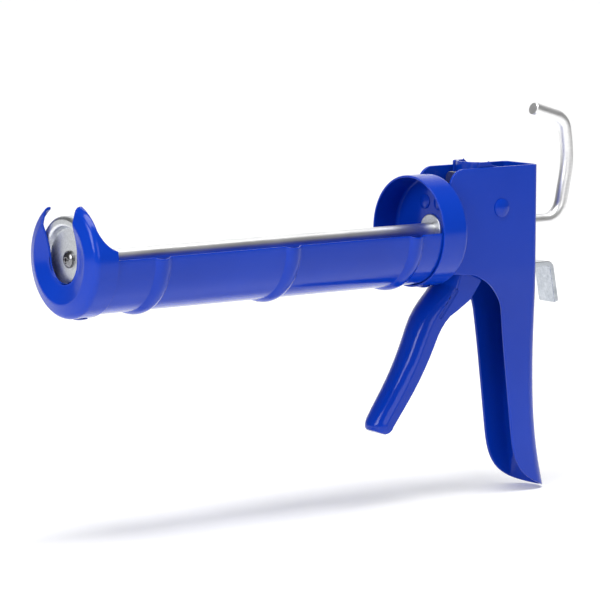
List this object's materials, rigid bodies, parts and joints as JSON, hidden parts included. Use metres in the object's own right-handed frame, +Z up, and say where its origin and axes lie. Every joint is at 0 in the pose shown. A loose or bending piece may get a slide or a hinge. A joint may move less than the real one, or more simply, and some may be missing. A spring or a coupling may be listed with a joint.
{
  "type": "caulking gun",
  "caption": "Cradle caulking gun: half-round trough, slotted front cap, smooth push rod with hook, trigger, folded handle shell and thumb release lever.",
  "frame": {"origin": "on the push rod's axis, at the outer face of the front cap's slotted nozzle plate", "axes": "+X runs back along the barrel to the handle, +Z is up, +Y completes the right-handed frame, to the tool's right side; the nozzle points along -X"},
  "size_m": [0.326, 0.0574, 0.202],
  "materials": {
    "blue_paint": "glossy blue enamel on pressed steel sheet",
    "zinc_bar": "satin zinc-plated steel bar",
    "zinc_bright": "bright zinc-plated steel strip",
    "zinc_plate": "dull zinc-plated pressed steel",
    "spring_steel": "bright drawn spring wire",
    "hardened_steel": "hardened plate, light oil",
    "dark_nickel": "nickel-plated screw"
  },
  "bodies": {
    "root": {"cradle": "blue_paint", "front_cap": "blue_paint", "rear_ring": "blue_paint", "handle_shell": "blue_paint", "cradle_rivets": "blue_paint", "shell_rivets": "blue_paint", "pivot_rivet": "blue_paint", "pivot_sleeve": "zinc_plate", "pivot_washers": "zinc_plate", "rod_guide": "zinc_plate", "drive_spring": "spring_steel", "drive_spring_washer": "zinc_plate", "catch_spring": "spring_steel"},
    "trigger": {"trigger": "blue_paint"},
    "drive_plate": {"drive_plate": "hardened_steel"},
    "thumb_lever": {"thumb_lever": "zinc_bright"},
    "plunger": {"plunger_plate": "zinc_plate", "plunger_backing_washer": "zinc_plate"},
    "rod": {"push_rod": "zinc_bar", "plunger_screw": "dark_nickel", "plunger_lock_washer": "zinc_plate"}
  },
  "joints": [
    {"name": "trigger_squeeze", "type": "hinge", "parent": "root", "child": "trigger", "pos_m": [0.2632, 0, 0.01], "axis": [0, -1, 0], "range_deg": [0, 24], "stiffness_Nm_per_rad": 1.2, "springref_deg": -14.32},
    {"name": "drive_plate_slide", "type": "slide", "parent": "root", "child": "drive_plate", "axis": [-1, 0, 0], "range_m": [0, 0.009], "deforming": ["drive_spring", "catch_spring"]},
    {"name": "thumb_press", "type": "hinge", "parent": "root", "child": "thumb_lever", "pos_m": [0.2895, 0, 0.01275], "axis": [0, 1, 0], "range_deg": [0, 5], "stiffness_Nm_per_rad": 0.6, "springref_deg": -5.73},
    {"name": "plunger_slide", "type": "slide", "parent": "root", "child": "plunger", "axis": [1, 0, 0], "range_m": [0, 0.215]},
    {"name": "rod_spin", "type": "hinge", "parent": "plunger", "child": "rod", "pos_m": [0.0055, 0, 0], "axis": [1, 0, 0], "continuous": true}
  ],
  "couplings": [
    {"joint": "drive_plate_slide", "follows": "trigger_squeeze", "m_per_rad": 0.02}
  ]
}
